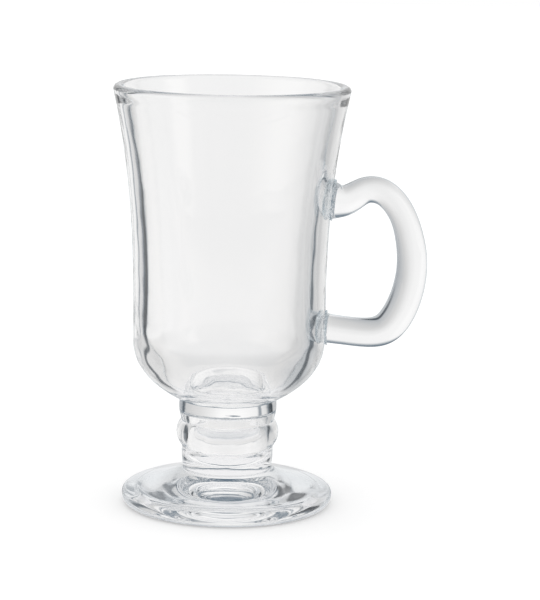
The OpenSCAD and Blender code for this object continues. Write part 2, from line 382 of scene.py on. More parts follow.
POLISHED = detail_group()
GLASS_IOR = 1.52
ROUGHEST = 0.02
SHADOW_TINT = (0.93, 0.94, 0.95, 1)

# From where to where, as shares of a grazing view, the tint passes into the edge's colour: partly
# the blue of a long path through glass, partly painted shade for the dark edge lines
EDGE = (0.8, 0.98)
EDGE_BLUE_AND_SHADE = (0.5, 0.66, 0.76, 1)


def smooth_step(tree, value, low, high):
    """0 below low, 1 above high, and a smooth rise between them."""
    made = node(tree, "ShaderNodeMapRange", interpolation_type="SMOOTHSTEP")
    tree.links.new(value, made.inputs["Value"])
    made.inputs["From Min"].default_value = low
    made.inputs["From Max"].default_value = high
    return made.outputs["Result"]


def blend(tree, share, a, b):
    """The colour a share of the way from a to b, each a colour or a socket."""
    made = node(tree, "ShaderNodeMix", data_type="RGBA")
    for name, value in (("Factor", share), ("A", a), ("B", b)):
        sockets = [s for s in made.inputs if s.name == name and s.enabled]
        if isinstance(value, bpy.types.NodeSocket):
            tree.links.new(value, sockets[0])
        else:
            sockets[0].default_value = value
    return [s for s in made.outputs if s.enabled][0]


def glass_material(name, tint, wave_scale, relief, roughest=ROUGHEST,
                   edge=EDGE, edge_blue_and_shade=EDGE_BLUE_AND_SHADE):
    """Clear glass whose shadow is faint, bluer and darker where it is seen edge-on: partly the blue
    of a long path through glass, partly painted shade.
    """
    material = bpy.data.materials.new(name)
    material.use_nodes = True
    tree = material.node_tree
    link = tree.links.new
    shader = tree.nodes["Principled BSDF"]
    shader.inputs["Transmission Weight"].default_value = 1.0
    shader.inputs["IOR"].default_value = GLASS_IOR
    facing = node(tree, "ShaderNodeLayerWeight").outputs["Facing"]
    grazing = smooth_step(tree, facing, *edge)
    # The edge colour is painted shade for the dark edge lines, over the real blue of thick glass
    link(blend(tree, grazing, tint, edge_blue_and_shade), shader.inputs["Base Color"])
    detail = node(tree, "ShaderNodeGroup", node_tree=POLISHED)
    detail.inputs["Wave Scale"].default_value = wave_scale
    detail.inputs["Roughest"].default_value = roughest
    link(detail.outputs["Roughness"], shader.inputs["Roughness"])
    bump = node(tree, "ShaderNodeBump")
    bump.inputs["Strength"].default_value = 1.0
    bump.inputs["Distance"].default_value = relief
    link(detail.outputs["Height"], bump.inputs["Height"])
    link(bump.outputs["Normal"], shader.inputs["Normal"])
    clear = node(tree, "ShaderNodeBsdfTransparent")
    clear.inputs["Color"].default_value = SHADOW_TINT
    either = node(tree, "ShaderNodeMixShader")
    link(node(tree, "ShaderNodeLightPath").outputs["Is Shadow Ray"], either.inputs["Fac"])
    link(shader.outputs[0], either.inputs[1])
    link(clear.outputs[0], either.inputs[2])
    link(either.outputs[0], tree.nodes["Material Output"].inputs["Surface"])
    return material


def fused_material():
    """Where two stretches of glass are fused there is no face left to see."""
    material = bpy.data.materials.new("fused through")
    material.use_nodes = True
    shader = material.node_tree.nodes["Principled BSDF"]
    shader.inputs["Base Color"].default_value = (1, 1, 1, 1)
    shader.inputs["Transmission Weight"].default_value = 1.0
    shader.inputs["Alpha"].default_value = 0.0
    return material


FUSED = fused_material()
CLEAR = (1.0, 0.998, 0.996, 1)
# The bowl's dark edge colour is painted shade along its edges, over the blue of thick glass
bowl_glass = glass_material(
    "bowl glass", CLEAR, wave_scale=55.0, relief=0.006 * MM, edge_blue_and_shade=(0.3, 0.45, 0.56, 1),
)

# Chill marks, where the plunger first touched the hot glass low on the inside
CHILL_Z = 57 * MM
CHILL_HALF_H = 13 * MM
CHILL_SIZE = 5 * MM
CHILL_DEPTH = 0.4 * MM
CHILL_STRETCH = 0.5
CHILL_FADE = 2

# They lie at the mug's two sides only, beyond this share of the radius, and are
# fainter on the handle's side. A point under the skin's thickness is on the inside.
CHILL_FROM = 0.6
CHILL_RIGHT_SHARE = 0.4
SKIN = 2 * MM

# Depth of the waves left by the press: outside, inside, and low on the inside
BOWL_WAVE_SIZE = 9 * MM
OUTSIDE_WAVE = 0.02 * MM
INSIDE_WAVE = 0.06 * MM
LOW_INSIDE_WAVE = 0.14 * MM

# Rows over which the low waves grow, calm down and vanish at the floor's edge
SWELL_ROWS = 12
CALM_ROWS = 16
STILL_ROWS = 8


def outer_shoulder():
    """From the seat on the stem up to the straight wall."""
    run, rise = SHOULDER_OUT
    seat = (BOWL_SEAT_R, BOWL_SEAT_Z)
    out = (BOWL_SEAT_R + (WALL_R - BOWL_SEAT_R) * run, BOWL_SEAT_Z + SHOULDER_H * rise)
    up = (WALL_R, SHOULDER_Z - SHOULDER_H * SHOULDER_UP)
    return cubic(seat, out, up, (WALL_R, SHOULDER_Z), SHOULDER_ROWS)


def lip_and_taper():
    """The half round of the lip, then the inside down to where the wall has its thickness."""
    made = []
    for i in range(1, LIP_ROWS + 1):
        angle = math.pi * i / LIP_ROWS
        r = RIM_R - LIP_ROUND + LIP_ROUND * math.cos(angle)
        made.append((r, LIP_Z + LIP_ROUND * math.sin(angle), OUTSIDE_WAVE, 0))
    top = (RIM_R - 2 * LIP_ROUND, LIP_Z)
    inner = (wall_radius(TAPER_Z) - wall_thickness(TAPER_Z), TAPER_Z)
    below_top = (top[0] - LIP_LEAD * LIP_TUCK, top[1] - LIP_LEAD)
    above_inner = (inner[0] + LIP_LEAD * LIP_SLOPE, inner[1] + LIP_LEAD)
    taper = cubic(top, below_top, above_inner, inner, INNER_LIP_ROWS)
    return made + [(r, z, INSIDE_WAVE, 0) for r, z in taper]


def inner_shoulder():
    """The inside from the straight wall to the floor's edge. Its waves fade out there."""
    low = (WALL_R - WALL_T, SHOULDER_Z)
    down = (low[0], mix(SHOULDER_Z, FLOOR_Z, INNER_DOWN))
    across = (mix(FLOOR_R, low[0], INNER_ACROSS), FLOOR_Z)
    rows = INNER_SHOULDER_ROWS
    made = []
    for i, (r, z) in enumerate(cubic(low, down, across, (FLOOR_R, FLOOR_Z), rows)):
        swell = min(i / SWELL_ROWS, 1) * min((rows - i) / CALM_ROWS, 1)
        wave = mix(INSIDE_WAVE, LOW_INSIDE_WAVE, swell) * min((rows - i) / STILL_ROWS, 1)
        made.append((r, z, wave, 0))
    return made


def bowl_floor():
    """The bead on the floor's edge, the step down into the well, and the well's floor."""
    made = []
    for i in range(1, BEAD_ROWS):
        turn = math.pi * i / BEAD_ROWS
        r = FLOOR_R - BEAD_R * (1 - math.cos(turn))
        made.append((r, FLOOR_Z + BEAD_R * BEAD_FLATTENING * math.sin(turn), 0, 0))
    well = (FLOOR_R - WELL_D, FLOOR_Z - WELL_D)
    step = flat((FLOOR_R - 2 * BEAD_R, FLOOR_Z), well, STEP_ROWS)
    made += [(r, z, 0, 0) for r, z in step]
    bottom = flat(well, (0, FLOOR_Z - WELL_D), FLOOR_ROWS)
    return made + [(r, z, INSIDE_WAVE * r / FLOOR_R, 0) for r, z in bottom]


def bowl_outline():
    """The bowl's section, from the middle of its seat out, over the lip and down to its floor."""
    outline = [(0, BOWL_SEAT_Z, 0, 1), (BOWL_SEAT_R, BOWL_SEAT_Z, 0, 1)]
    outline += [(r, z, OUTSIDE_WAVE, 0) for r, z in outer_shoulder()]
    for i in range(1, WALL_ROWS + 1):
        z = mix(SHOULDER_Z, LIP_Z, i / WALL_ROWS)
        outline.append((wall_radius(z), z, OUTSIDE_WAVE, 0))
    outline += lip_and_taper()
    for i in range(1, INNER_WALL_ROWS + 1):
        z = mix(TAPER_Z, SHOULDER_Z, i / INNER_WALL_ROWS)
        outline.append((wall_radius(z) - wall_thickness(z), z, INSIDE_WAVE, 0))
    return outline + inner_shoulder() + bowl_floor()


bowl = turned_piece(
    "bowl_glass", bowl_outline(), bowl_glass, BOWL_WAVE_SIZE, seed=3.0, crowding=CROWDING,
)
for vertex in bowl.data.vertices:
    x, y, z = vertex.co
    r = math.hypot(x, y)
    inside = min(max((wall_radius(z) - SKIN - r) / MM, 0), 1)
    height = max(1 - abs(z - CHILL_Z) / CHILL_HALF_H, 0)
    if inside and height and r > FLOOR_R:
        beside = max(abs(x) / r - CHILL_FROM, 0) / (1 - CHILL_FROM)
        beside *= 1 if x < 0 else CHILL_RIGHT_SHARE
        crease = noise.noise(Vector((x, y * CHILL_STRETCH, z)) / CHILL_SIZE)
        push = CHILL_DEPTH * beside * inside * min(height * CHILL_FADE, 1) * crease
        vertex.co.xy += Vector((x, y)) / r * push
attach(bowl, "root")
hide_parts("bowl")

# The stem is three short stretches of glass fused end to end: an upper and a lower
# collar and the knop between them, which stands out as a ring. The upper and the lower
# half were pressed apart with a recess each, so a pocket of air is shut up in the stem.
FOOT_H = 13 * MM
LOWER_STEM_H = 7.6 * MM
KNOP_H = 9 * MM
UPPER_STEM_H = 7.4 * MM
KNOP_Z = FOOT_H + LOWER_STEM_H
UPPER_STEM_Z = KNOP_Z + KNOP_H
WAIST_R = 15.4 * MM
LOWER_NECK_R = 15.8 * MM
UPPER_NECK_R = 16.1 * MM
LOWER_BELLY = 0.2 * MM
KNOP_BELLY = 1.8 * MM
UPPER_BELLY = 0.45 * MM
KNOP_FULLNESS = 0.75

# The air pocket: its radius above, below and on its floor, and its rounded floor's sag
POCKET_FLOOR_Z = 14.5 * MM
POCKET_TOP_Z = 33 * MM
POCKET_R = 13.4 * MM
POCKET_BELLY = 1.3 * MM
POCKET_LOW_R = 13.9 * MM
POCKET_FLOOR_R = 11.2 * MM
POCKET_ROUND = 0.9 * MM
POCKET_SAG = 0.6 * MM

# Pull of the inner points of the pocket's two curves
WALL_IN = 0.3 * MM
WALL_DOWN = 3.4 * MM
FLOOR_IN = 1.5 * MM
FLOOR_DOWN = 0.5 * MM
HOLE_OUT = 0.1 * MM

# Rows of points, and the depth and size of the waves outside and in the pocket
SIDE_ROWS = 26
RECESS_ROWS = 40
HOLE_ROWS = 18
POCKET_WALL_ROWS = 8
ROUND_ROWS = 6
CEILING_ROWS = 24
STEM_WAVE = 0.04 * MM
POCKET_WAVE = 0.12 * MM
STEM_WAVE_SIZE = 5 * MM
stem_glass = glass_material("stem glass", CLEAR, wave_scale=90.0, relief=0.01 * MM)


def outer_side(z, height, low_r, top_r, belly, fullness=1.0):
    """Outline of a stretch of the stem, from its fused lower edge to its fused upper edge."""
    side = [(low_r, z, 0, 1)]
    for i in range(1, SIDE_ROWS):
        share = i / SIDE_ROWS
        swell = math.sin(math.pi * share)
        r = mix(low_r, top_r, share) + belly * swell ** fullness
        side.append((r, z + height * share, STEM_WAVE * swell, 0))
    return side + [(top_r, z + height, 0, 1)]


def pocket_ceiling(r, z):
    """The pocket's upper end: a rounded corner from the wall, then flat to the axis."""
    made = []
    for i in range(1, ROUND_ROWS + 1):
        turn = math.pi / 2 * i / ROUND_ROWS
        inwards, upwards = 1 - math.cos(turn), math.sin(turn) - 1
        made.append((r - POCKET_ROUND * inwards, z + POCKET_ROUND * upwards))
    return made + flat(made[-1], (0, made[-1][1]), CEILING_ROWS)


def waved(points):
    """The pocket's wall is uneven, less so towards its middle."""
    return [(r, z, POCKET_WAVE * min(r / POCKET_FLOOR_R, 1), 0) for r, z in points]


# The recess below the knop is a rounded bowl, the knop's hole bulges a little, and the
# recess above it is straight
lower_recess = waved(cubic(
    (POCKET_LOW_R, KNOP_Z),
    (POCKET_LOW_R - WALL_IN, KNOP_Z - WALL_DOWN),
    (POCKET_FLOOR_R - FLOOR_IN, POCKET_FLOOR_Z - FLOOR_DOWN),
    (0, POCKET_FLOOR_Z - POCKET_SAG),
    RECESS_ROWS,
))
knop_hole = waved(cubic(
    (POCKET_R, UPPER_STEM_Z),
    (POCKET_R + HOLE_OUT, UPPER_STEM_Z - KNOP_H / 3),
    (POCKET_R + POCKET_BELLY, KNOP_Z + KNOP_H / 4),
    (POCKET_LOW_R, KNOP_Z),
    HOLE_ROWS,
)[:-1])
wall_top = (POCKET_R, POCKET_TOP_Z - POCKET_ROUND)
upper_wall = flat((POCKET_R, UPPER_STEM_Z), wall_top, POCKET_WALL_ROWS)
upper_recess = waved(upper_wall + pocket_ceiling(POCKET_R, POCKET_TOP_Z))

STEM_PIECES = [
    ("lower_stem", [(0, FOOT_H, 0, 1)]
     + outer_side(FOOT_H, LOWER_STEM_H, WAIST_R, LOWER_NECK_R, LOWER_BELLY)
     + [(POCKET_LOW_R, KNOP_Z, 0, 1)] + lower_recess),
    ("knop", [(POCKET_LOW_R, KNOP_Z, 0, 1)]
     + outer_side(KNOP_Z, KNOP_H, LOWER_NECK_R, UPPER_NECK_R, KNOP_BELLY, KNOP_FULLNESS)
     + [(POCKET_R, UPPER_STEM_Z, 0, 1)] + knop_hole + [(POCKET_LOW_R, KNOP_Z, 0, 1)]),
    ("upper_stem", upper_recess[::-1] + [(POCKET_R, UPPER_STEM_Z, 0, 1)]
     + outer_side(UPPER_STEM_Z, UPPER_STEM_H, UPPER_NECK_R, BOWL_SEAT_R, UPPER_BELLY)
     + [(0, BOWL_SEAT_Z, 0, 1)]),
]
STEM_SEEDS = (13.0, 20.0, 27.0)
for seed, (part, outline) in zip(STEM_SEEDS, STEM_PIECES):
    ring = turned_piece(part + "_glass", outline, stem_glass, STEM_WAVE_SIZE, seed)
    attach(ring, "root")
    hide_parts(part)

# The foot is a domed disc of the same glass with a thick rounded edge. It was pressed
# last, stands on a narrow ring, and has a shallow hollow underneath.
FOOT_R = 36.7 * MM
FOOT_EDGE_Z = 3.4 * MM
SHELF_W = 4.1 * MM
FOOT_TOP = (FOOT_R - SHELF_W, 6.6 * MM)
EDGE_IN = 3.1 * MM
RING_W = 2.6 * MM
RING_OUT_R = FOOT_R - EDGE_IN
RING_IN_R = RING_OUT_R - RING_W
RING_STEP = 0.9 * MM
HOLLOW_H = 3.4 * MM
HOLLOW_FLAT = 0.66
HOLLOW_SLOPE = 0.8
FOOT_SLOPE = math.radians(14)
FOOT_WAVE = 0.05 * MM
FOOT_WAVE_SIZE = 14 * MM
HOLLOW_ROWS = 44
RING_ROWS = 3
EDGE_ROWS = 18
CLIMB_ROWS = 40
CLIMB_CALM_ROWS = 6

# Pull of the curves' inner points: down the edge, off the top, up to the waist
SHELF_PULL = 0.6
EDGE_PULL = 0.56
CLIMB_PULL = 0.35
WAIST_PULL = 1.8 * MM
# The foot's grey edge colour is painted shade at its edges
foot_glass = glass_material(
    "foot glass", CLEAR, wave_scale=70.0, relief=0.01 * MM,
    edge=(0.35, 0.8), edge_blue_and_shade=(0.55, 0.6, 0.64, 1),
)


def foot_outline():
    """The foot's section, from the middle of its hollow out, round its edge and up to the waist."""
    hollow = cubic(
        (0, HOLLOW_H), (RING_IN_R * HOLLOW_FLAT, HOLLOW_H),
        (RING_IN_R * HOLLOW_SLOPE, RING_STEP), (RING_IN_R - RING_STEP, RING_STEP), HOLLOW_ROWS,
    )
    outline = [(0, HOLLOW_H, FOOT_WAVE, 0)] + [(r, z, FOOT_WAVE, 0) for r, z in hollow]
    outline += [(r, z, 0, 0) for r, z in flat(hollow[-1], (RING_IN_R, 0), RING_ROWS)]
    outline += [(r, z, 0, 0) for r, z in flat((RING_IN_R, 0), (RING_OUT_R, 0), RING_ROWS)]
    for i in range(1, EDGE_ROWS + 1):
        angle = math.pi / 2 * i / EDGE_ROWS
        r = RING_OUT_R + (FOOT_R - RING_OUT_R) * math.sin(angle)
        outline.append((r, FOOT_EDGE_Z * (1 - math.cos(angle)), 0, 0))
    slope = (math.cos(FOOT_SLOPE), -math.sin(FOOT_SLOPE))
    reach = SHELF_W * SHELF_PULL
    before_top = (FOOT_TOP[0] + slope[0] * reach, FOOT_TOP[1] + slope[1] * reach)
    above_edge = (FOOT_R, mix(FOOT_EDGE_Z, FOOT_TOP[1], EDGE_PULL))
    shelf = cubic((FOOT_R, FOOT_EDGE_Z), above_edge, before_top, FOOT_TOP, EDGE_ROWS)
    outline += [(r, z, FOOT_WAVE, 0) for r, z in shelf]
    run = (FOOT_TOP[0] - WAIST_R) * CLIMB_PULL
    after_top = (FOOT_TOP[0] - slope[0] * run, FOOT_TOP[1] - slope[1] * run)
    waist = (WAIST_R, FOOT_H)
    climb = cubic(FOOT_TOP, after_top, (WAIST_R, FOOT_H - WAIST_PULL), waist, CLIMB_ROWS)
    for i, (r, z) in enumerate(climb[:-1]):
        outline.append((r, z, FOOT_WAVE * min((CLIMB_ROWS - i) / CLIMB_CALM_ROWS, 1), 0))
    return outline + [(*waist, 0, 1), (0, FOOT_H, 0, 1)]


foot = turned_piece("foot_glass", foot_outline(), foot_glass, FOOT_WAVE_SIZE, seed=7.0)
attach(foot, "root")
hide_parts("foot")

# The handle is a bar of the same glass, pressed to a rounded oval section and bent
# to a D while hot. Its two ends were pushed against the bowl and fused there.
LOW_ROOT_H = 3.5 * MM
LOW_ROOT_Z = SHOULDER_Z + LOW_ROOT_H
ROOT_SPAN = 44.5 * MM
GRIP_REACH = 29.4 * MM
GRIP_T = 9.7 * MM
GRIP_W = 11.6 * MM
PAD_T = 0.8 * MM
SECTION_POWER = 2.3

# Reach, height between the two ends, thickness and width, as shares of those sizes
HANDLE_STATIONS = [
    (-0.06, 1.004, 1.4, 1.24), (0.065, 0.998, 1.37, 1.24), (0.19, 0.99, 1.07, 1.07),
    (0.3, 1.032, 1, 0.98), (0.41, 1.08, 0.92, 0.95), (0.52, 1.092, 0.94, 0.95),
    (0.655, 1.07, 0.93, 0.96), (0.78, 0.996, 0.95, 0.97), (0.88, 0.89, 0.95, 0.98),
    (0.942, 0.775, 0.99, 1), (0.985, 0.645, 1.05, 1), (1.005, 0.51, 1.09, 1),
    (0.985, 0.37, 1.11, 1), (0.925, 0.217, 1.14, 1), (0.827, 0.08, 1.16, 1),
    (0.69, -0.021, 1.11, 1), (0.48, -0.038, 1.02, 0.98), (0.25, -0.023, 1, 0.96),
    (0.08, -0.008, 1.02, 0.95), (-0.02, 0, 1.07, 0.95), (-0.12, 0, 1.07, 0.95),
]
STEPS_PER_STATION = 12
SECTION_SIDES = 104
CAP_ROWS = 10


def handle_path():
    """Middle line of the handle with its two half sizes, a smooth curve led by the stations."""
    at = []
    for reach, height, thick, wide in HANDLE_STATIONS:
        z = mix(LOW_ROOT_Z, LOW_ROOT_Z + ROOT_SPAN, height)
        at.append(Vector((WALL_R + reach * GRIP_REACH, z, thick * GRIP_T / 2, wide * GRIP_W / 2)))
    path = []
    for i in range(len(at) - 1):
        a, b, c, d = (at[min(max(i + k, 0), len(at) - 1)] for k in (-1, 0, 1, 2))
        for j in range(STEPS_PER_STATION):
            t = j / STEPS_PER_STATION
            path.append(((1 - t) ** 3 * a + (3 * t ** 3 - 6 * t * t + 4) * b
                         + (3 * t + 3 * t * t - 3 * t ** 3 + 1) * c + t ** 3 * d) / 6)
    return path + [at[-1]]


def swept_tree():
    """Sweeps a rounded oval along a path in the XZ plane: rows along it, sides round it."""
    tree = bpy.data.node_groups.new("swept glass", "GeometryNodeTree")
    add_input(tree, "Path", "NodeSocketGeometry")
    add_input(tree, "Points", "NodeSocketInt")
    add_input(tree, "Sides", "NodeSocketInt")
    add_input(tree, "Power", "NodeSocketFloat")
    add_input(tree, "Glass", "NodeSocketMaterial")
    add_input(tree, "Fused Face", "NodeSocketMaterial")
    tree.interface.new_socket("Mesh", in_out="OUTPUT", socket_type="NodeSocketGeometry")
    given = node(tree, "NodeGroupInput").outputs
    grid, turn, row = rows_along(tree, given["Points"], given["Sides"])
    angle = math_node(tree, "MULTIPLY", turn, math.tau)

    def on_path(name=None):
        return at_row(tree, given["Path"], row, "FLOAT_VECTOR", name)

    def swelled(wave):
        """The oval's side: the sign of the wave times its size to the power of 2 / Power."""
        power = math_node(tree, "DIVIDE", 2, given["Power"])
        size = math_node(tree, "POWER", math_node(tree, "ABSOLUTE", wave), power)
        return math_node(tree, "MULTIPLY", math_node(tree, "SIGN", wave), size)

    up = scaled(tree, on_path("across"), swelled(math_node(tree, "COSINE", angle)))
    side = scaled(tree, on_path("sideways"), swelled(math_node(tree, "SINE", angle)))
    grid = marked(tree, grid, "FLOAT_VECTOR", "ends", on_path("ends"))
    apart = node(tree, "ShaderNodeSeparateXYZ")
    tree.links.new(named_value(tree, "FLOAT_VECTOR", "ends"), apart.inputs[0])
    places = added(tree, on_path(), added(tree, up, side))
    glass_skin(tree, given, grid, places, apart.outputs["Y"])
    return tree


def wall_reach(y, z, gap):
    """X of the bowl's outside, grown by a gap, on the handle's side."""
    return math.sqrt((wall_radius(z) + gap) ** 2 - y * y)


# The ends follow the bowl's wall up to here, in rows from each end
FREE_AT_TOP = 2 * STEPS_PER_STATION
FREE_AT_BOTTOM = 3 * STEPS_PER_STATION


def handle_mesh(glass):
    """The swept bar, its ends closed and laid against the pads' outside."""
    path = handle_path()
    total = len(path)
    rows = []
    for i, here in enumerate(path):
        before, after = path[max(i - 1, 0)], path[min(i + 1, total - 1)]
        way = Vector((after[0] - before[0], after[1] - before[1])).normalized()
        across = Vector((-way[1], 0, way[0])) * here[2]
        free = min(i / FREE_AT_TOP, (total - 1 - i) / FREE_AT_BOTTOM, 1.0)
        rows.append((Vector((here[0], 0, here[1])), across, Vector((0, -here[3], 0)), free, 0.0))

    def cap(row):
        """Rows of an end's flat face, from its middle outwards."""
        spot, across, side = row[:3]
        return [
            (spot, across * s / CAP_ROWS, side * s / CAP_ROWS, 0.0, 1.0)
            for s in range(CAP_ROWS)
        ]

    first, final = rows[0], rows[-1]
    rows[0] = (*first[:4], 1.0)
    rows[-1] = (*final[:4], 1.0)
    rows = cap(first) + rows + cap(final)[::-1]
    mesh = bpy.data.meshes.new("handle_glass")
    mesh.from_pydata([r[0] for r in rows], [(i, i + 1) for i in range(len(rows) - 1)], [])
    for name, values in (
        ("across", [c for r in rows for c in r[1]]),
        ("sideways", [c for r in rows for c in r[2]]),
        ("ends", [c for r in rows for c in (r[3], r[4], 0.0)]),
    ):
        mesh.attributes.new(name, "FLOAT_VECTOR", "POINT").data.foreach_set("vector", values)
    obj = bpy.data.objects.new("handle_glass", mesh)
    bpy.context.scene.collection.objects.link(obj)
    modifier = obj.modifiers.new("swept", "NODES")
    modifier.node_group = swept_tree()
    set_inputs(modifier, {"Points": len(rows), "Sides": SECTION_SIDES, "Power": SECTION_POWER,
                          "Glass": glass, "Fused Face": FUSED})
    made_plain(obj)
    ends = obj.data.attributes["ends"].data
    for vertex, mark in zip(obj.data.vertices, ends):
        free = mark.vector[0]
        if free < 1:
            x, y, z = vertex.co
            vertex.co.x = mix(wall_reach(y, z, PAD_T), x, free * free * (3 - 2 * free))
    obj.data.set_sharp_from_angle(angle=SHARP_ANGLE)
    return obj


# The handle's dark edge colour is painted shade along its sides
handle_glass = glass_material(
    "handle glass", CLEAR, wave_scale=120.0, relief=0.012 * MM,
    edge=(0.55, 0.92), edge_blue_and_shade=(0.3, 0.42, 0.5, 1),
)
handle = handle_mesh(handle_glass)
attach(handle, "root")
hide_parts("handle")

# The weld pads are the glass squeezed out between the handle's hot ends and the bowl.
# It wrinkled where it folded against the cooler wall, with a film of air caught in it.

# Name, height of the middle, height and width
UPPER_PAD = ("upper_weld_pad", LOW_ROOT_Z + ROOT_SPAN, 14.2 * MM, 15 * MM)
LOWER_PAD = ("lower_weld_pad", LOW_ROOT_Z, 12 * MM, 11.8 * MM)
AIR_FILM = 0.03 * MM

# The folds: their size and depth, how fast they fade to the edge, and their stretch
WRINKLE_SIZE = 0.9 * MM
WRINKLE_DEPTH = 0.5 * MM
WRINKLE_EDGE = 6
FOLD_Y = 1.5
FOLD_Z = 0.6
FINE_FOLDS = 2.3
FINE_SHARE = 0.5

# Rows and columns of points, and where the rounded edge begins
PAD_ROWS = 44
PAD_SIDES = 168
EDGE_SHARE = 0.96
EDGE_BEAD = 6
OUTER_ROW_STEP = 4
# The weld's dark edge colour is painted shade at its folds and edge
weld_glass = glass_material(
    "weld glass", (0.86, 0.94, 0.97, 1), wave_scale=400.0, relief=0.012 * MM, roughest=0.01,
    edge=(0.5, 0.85), edge_blue_and_shade=(0.16, 0.32, 0.42, 1),
)


def oval(share, half_h, half_w, turn):
    """A point of the pad's outline, or of a smaller one inside it."""
    c, s = math.cos(turn), math.sin(turn)
    power = 2 / SECTION_POWER
    up = half_h * math.copysign(abs(c) ** power, c)
    side = half_w * math.copysign(abs(s) ** power, s)
    return side * share, up * share


def creased(y, z, seed):
    """Depth of the wrinkles from 0 to 1: sharp folds that run mostly up and down."""
    spot = Vector((y * FOLD_Y, z * FOLD_Z, seed)) / WRINKLE_SIZE
    folds = 1 - abs(noise.noise(spot) + FINE_SHARE * noise.noise(spot * FINE_FOLDS))
    return min(max(folds * folds, 0), 1)


def pad_piece(part, z0, height, width):
    """A closed oval pad: a wrinkled face to the bowl, a rounded edge and a face to the handle."""
    verts, faces, kinds = [], [], []

    def row(share, gap, wrinkled):
        """One ring of points, and the number of its first."""
        start = len(verts)
        for j in range(PAD_SIDES):
            y, up = oval(share, height / 2, width / 2, math.tau * j / PAD_SIDES)
            z = z0 + up
            x = wall_reach(y, z, gap)
            if wrinkled:
                x += WRINKLE_DEPTH * wrinkled * creased(y, z, z0)
            verts.append((x, y, z))
        return start

    rows = []
    for i in range(1, PAD_ROWS + 1):
        share = i / PAD_ROWS
        rows.append((row(share * EDGE_SHARE, AIR_FILM, min(1, (1 - share) * WRINKLE_EDGE)), 0))
    for i in range(1, EDGE_BEAD):
        turn = math.pi * i / EDGE_BEAD
        gap = mix(AIR_FILM, PAD_T, i / EDGE_BEAD)
        rows.append((row(EDGE_SHARE + (1 - EDGE_SHARE) * math.sin(turn), gap, 0), 0))
    for i in range(PAD_ROWS, 0, -OUTER_ROW_STEP):
        rows.append((row(i / PAD_ROWS * EDGE_SHARE, PAD_T, 0), 1))
    for (a, _), (b, kind) in zip(rows, rows[1:]):
        for j in range(PAD_SIDES):
            k = (j + 1) % PAD_SIDES
            faces.append((a + j, b + j, b + k, a + k))
            kinds.append(kind)
    for (start, kind), gap, turned in ((rows[0], AIR_FILM, False), (rows[-1], PAD_T, True)):
        middle = len(verts)
        deep = 0 if turned else WRINKLE_DEPTH * creased(0, z0, z0)
        verts.append((wall_reach(0, z0, gap) + deep, 0, z0))
        for j in range(PAD_SIDES):
            k = (j + 1) % PAD_SIDES
            rim = (start + k, start + j) if turned else (start + j, start + k)
            faces.append((middle, *rim))
            kinds.append(kind)
    mesh = bpy.data.meshes.new(part + "_glass")
    mesh.from_pydata(verts, [], faces)
    mesh.materials.append(weld_glass)
    mesh.materials.append(FUSED)
    mesh.polygons.foreach_set("material_index", kinds)
    mesh.polygons.foreach_set("use_smooth", [True] * len(faces))
    mesh.set_sharp_from_angle(angle=SHARP_ANGLE)
    obj = bpy.data.objects.new(part + "_glass", mesh)
    bpy.context.scene.collection.objects.link(obj)
    return obj


for part, z0, height, width in (UPPER_PAD, LOWER_PAD):
    pad = pad_piece(part, z0, height, width)
    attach(pad, "root")
    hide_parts(part)

# The mug stands on a white table in front of a white backdrop that is brightest in
# the middle, with dark screens at both sides, which draw the dark lines in the glass,
# and two soft lamps at the front. Only the glass sees these; the camera sees white.
# What the glass sees of the table glows as painted light, with painted shade close to the foot, in
# two narrow bands at its sides and towards the front
FLOOR_GAP = 0.08 * MM
FLOOR_HALF = 3.0
TABLE_COLOUR = (0.8, 0.8, 0.8, 1)
TABLE_ROUGHNESS = 0.9
TABLE_GLOW = 0.34
WHITE = (1, 1, 1, 1)

# Distances in metres on the table: under the foot, close to it, beyond, at the front
UNDER_NEAR = 0.04
UNDER_FAR = 0.07
TABLE_NEAR = 0.13
TABLE_FAR = 0.3
FRONT_START = 0.02
FRONT_FULL = 0.1
FRONT_NEAR = 0.1
FRONT_FAR = 0.75
# Painted light of the table as the glass sees it: under the foot, and at the front, where it fades
# to painted shade
UNDER_LIGHT = (0.9, 0.9, 0.91, 1)
FRONT_LIGHT = (0.7, 0.7, 0.72, 1)
FRONT_SHADE = (0.25, 0.28, 0.31, 1)

# Brightness round the mug in degrees from the backdrop's middle, to the handle's side
# above zero: what a ray meets that was mirrored in the glass, what a ray meets that only
# passed through it, and the painted light and shade that either meets on the table close
# to the foot, darker than farther out
MIRRORED = [
    (-180, 0.3), (-160, 0.4), (-142, 0.7), (-130, 0.95), (-104, 1.0), (-96, 0.75), (-61, 0.6),
    (-58, 0.04), (-51, 0.04), (-47, 0.22), (-42, 0.75), (-35, 0.85), (-33.5, 0.35), (-30.5, 0.35),
    (-29, 0.9), (-12, 1.0), (4, 1.0), (12, 0.88), (24, 0.74), (38, 0.66), (48, 0.6), (52, 0.15),
    (57, 0.12), (61, 0.42), (98, 0.42), (106, 1.0), (122, 1.0), (130, 0.4), (180, 0.3),
]
PASSED = [
    (-180, 1.0), (-92, 1.0), (-86, 0.6), (-78, 0.6), (-74, 0.9), (-28, 1.0), (-16, 1.0), (-8, 0.95),
    (4, 0.94), (12, 0.86), (24, 0.66), (38, 0.52), (50, 0.46), (60, 0.42), (76, 0.42), (84, 1.0),
    (180, 1.0),
]
TABLE_CLOSE_SHADE = [
    (-180, 0.75), (-110, 0.75), (-62, 0.7), (-58, 0.1), (-51, 0.06), (-46, 0.6), (-30, 0.8),
    (0, 0.85), (22, 0.66), (46, 0.5), (51, 0.06), (58, 0.1), (62, 0.5), (110, 0.6), (180, 0.75),
]
SCREEN_BLUE = (0.75, 0.95, 1.15)
BLUE_BELOW = 1.6

